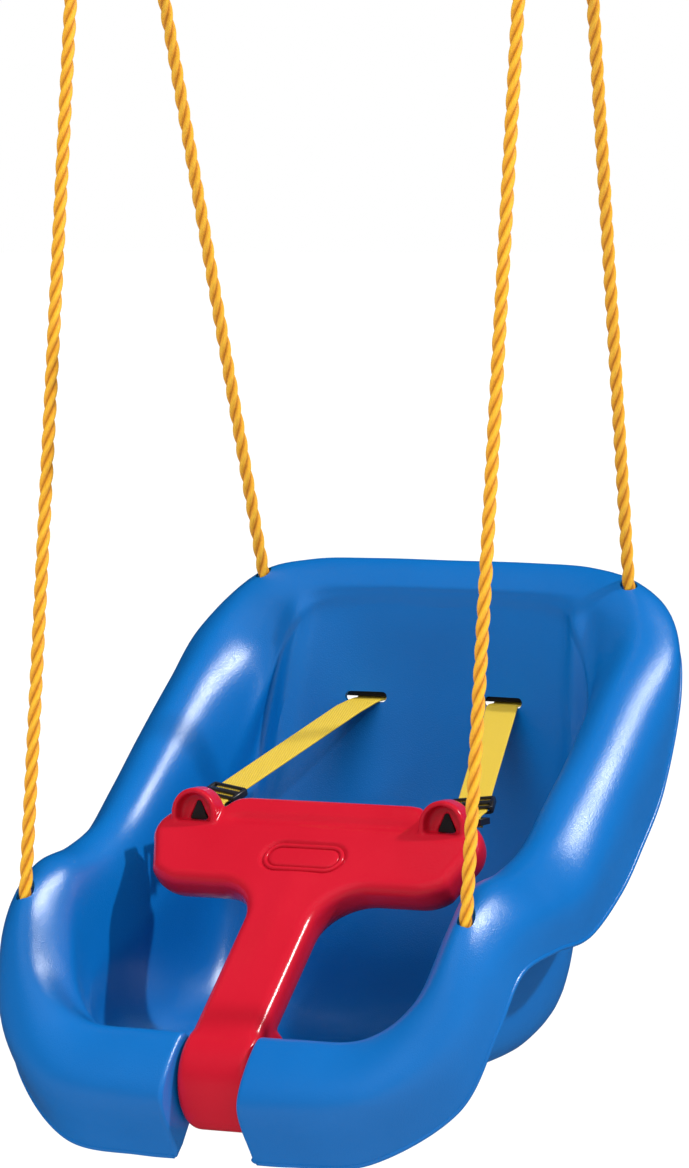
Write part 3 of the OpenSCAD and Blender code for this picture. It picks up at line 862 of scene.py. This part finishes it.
def rounded_bar(length, width, height, r, centre, axes, verts, faces, steps=3):
    """Adds a rounded bar to verts and faces. Its length is along axes[0]."""
    a, b, c = axes
    centre = np.asarray(centre, float)
    corner = []
    for cx, cz, t0 in ((1, 1, 0), (-1, 1, 90), (-1, -1, 180), (1, -1, 270)):
        for k in range(steps + 1):
            t = math.radians(t0 + 90 * k / steps)
            corner.append((cx * (width / 2 - r) + r * math.cos(t), cz * (height / 2 - r) + r * math.sin(t)))
    stations = [(-length / 2, 0.0), (-length / 2 + r * 0.3, 0.7), (-length / 2 + r, 1.0),
                (length / 2 - r, 1.0), (length / 2 - r * 0.3, 0.7), (length / 2, 0.0)]
    base = len(verts)
    for x, k in stations:
        grow = r * (1 - k)
        for y, z in corner:
            fy = (abs(y) - grow) * (1 if y > 0 else -1)
            fz = (abs(z) - grow) * (1 if z > 0 else -1)
            verts.append(centre + a * x + b * fy + c * fz)
    faces += tube_faces(len(stations), len(corner), base)


def make_adjuster(side, sign):
    """A ladder-lock adjuster: two side rails and pairs of cross bars with the strap between them."""
    axes = (STRAP_ACROSS, STRAP_WAY, STRAP_UP)
    verts, faces = [], []
    for x in (-15.0, 15.0):
        rounded_bar(18, 3.4, 6.4, 1.5, ADJUSTER + STRAP_ACROSS * x,
                    (STRAP_WAY, STRAP_ACROSS, STRAP_UP), verts, faces)
    for level in (-1, 1):
        for y, w in ((-7.6, 2.8), (0.0, 4.6), (7.6, 2.8)):
            at = ADJUSTER + STRAP_WAY * y + STRAP_UP * level * 2.3
            rounded_bar(31, w, 1.8, 0.8, at, axes, verts, faces)
    verts = np.array(verts) * (sign, 1, 1)
    mesh = bpy.data.meshes.new(f"{side}_ladder_lock")
    mesh.from_pydata(place(verts).tolist(), [], faces)
    if sign < 0:
        mesh.flip_normals()
    mesh.materials.append(BLACK)
    mesh.polygons.foreach_set("use_smooth", [True] * len(mesh.polygons))
    lock = add_to_scene(f"{side}_ladder_lock", mesh)
    crease(lock, 50)
    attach(lock, f"{side}_adjuster")
    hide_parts(f"{side}_adjuster")


for side, sign in SIDES:
    make_webbing(side, sign)
    make_adjuster(side, sign)


# ------------------------------------------------- CAD nodes that stay as they are
def dress(name, mat, edge):
    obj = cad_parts[name]
    obj.data.materials.clear()
    obj.data.materials.append(mat)
    bevel = obj.modifiers.new("edge", "BEVEL")
    bevel.width, bevel.segments, bevel.limit_method = edge * MM, 3, "ANGLE"
    bevel.angle_limit = math.radians(35)
    bevel.harden_normals = False


for side, _ in SIDES:
    for part, edge in (("hanger", 0.9), ("spreader", 0.9), ("pin", 0.5), ("pin_nut", 0.5), ("rod_cap", 0.8)):
        dress(f"{side}_{part}", ZINC, edge)
    for part, edge in (("catch", 0.9), ("strap_anchor", 0.9)):
        dress(f"{side}_{part}", BLACK, edge)
dress("hinge_rod", ZINC, 0.6)


# --------------------------------------------------------------- stage and light
SEAT_FOOT_Z = -184
FLOOR_DROP = 0.42
LAMPS_AIM = Vector((0, 0, -0.75))
LAMP_DISTANCE = 3.0
ROOM_LIGHT = 0.42


def make_stage():
    floor_z = float(place([0, 0, SEAT_FOOT_Z])[2]) - FLOOR_DROP
    bm = bmesh.new()
    bmesh.ops.create_circle(bm, cap_ends=True, segments=96, radius=70)
    mesh = bpy.data.meshes.new("floor")
    bm.to_mesh(mesh)
    bm.free()
    floor = add_to_scene("floor", mesh)
    floor.location = (0, 0, floor_z)
    m, tree, bsdf = material("floor_white", (0.84, 0.84, 0.84), 0.9)
    bsdf.inputs["Specular IOR Level"].default_value = 0.0
    mesh.materials.append(m)
    # painted shade in reflections: the floor is white seen directly but painted nearly black where the
    # plastics mirror it
    mirrored = node(tree, "ShaderNodeLightPath").outputs["Is Glossy Ray"]
    albedo = ramp(tree, mirrored, [(0.0, (0.82,) * 3), (1.0, (0.03,) * 3)])
    tree.links.new(albedo, bsdf.inputs["Base Color"])


def make_sun(name, azimuth, elevation, energy, angle, glossy=True):
    """azimuth is from -Y towards +X."""
    a, e = math.radians(azimuth), math.radians(elevation)
    towards = Vector((math.sin(a) * math.cos(e), -math.cos(a) * math.cos(e), math.sin(e)))
    data = bpy.data.lights.new(name, "SUN")
    data.energy = energy
    data.angle = math.radians(angle)
    lamp = add_to_scene(name, data)
    lamp.location = LAMPS_AIM + towards * LAMP_DISTANCE
    lamp.rotation_mode = "QUATERNION"
    lamp.rotation_quaternion = towards.to_track_quat("Z", "Y")
    lamp.visible_glossy = glossy


def make_world():
    world = bpy.data.worlds.new("studio")
    bpy.context.scene.world = world
    world.use_nodes = True
    tree = world.node_tree
    back = tree.nodes["Background"]
    back.inputs["Color"].default_value = (1, 1, 1, 1)
    # the sweep behind the object is white while the room's own light stays low
    seen = node(tree, "ShaderNodeLightPath").outputs["Is Camera Ray"]
    level = node(tree, "ShaderNodeMapRange")
    level.inputs["To Min"].default_value = ROOM_LIGHT
    level.inputs["To Max"].default_value = 1.0
    tree.links.new(seen, level.inputs["Value"])
    tree.links.new(level.outputs["Result"], back.inputs["Strength"])
    # the plastics show the key light alone, without a veil from the room
    world.cycles_visibility.glossy = False


make_stage()
make_sun("key", 100, 46, 2.3, angle=3.0)
make_sun("fill", 8, 48, 1.7, angle=60.0, glossy=False)
make_world()
bpy.context.scene.view_settings.view_transform = "Standard"
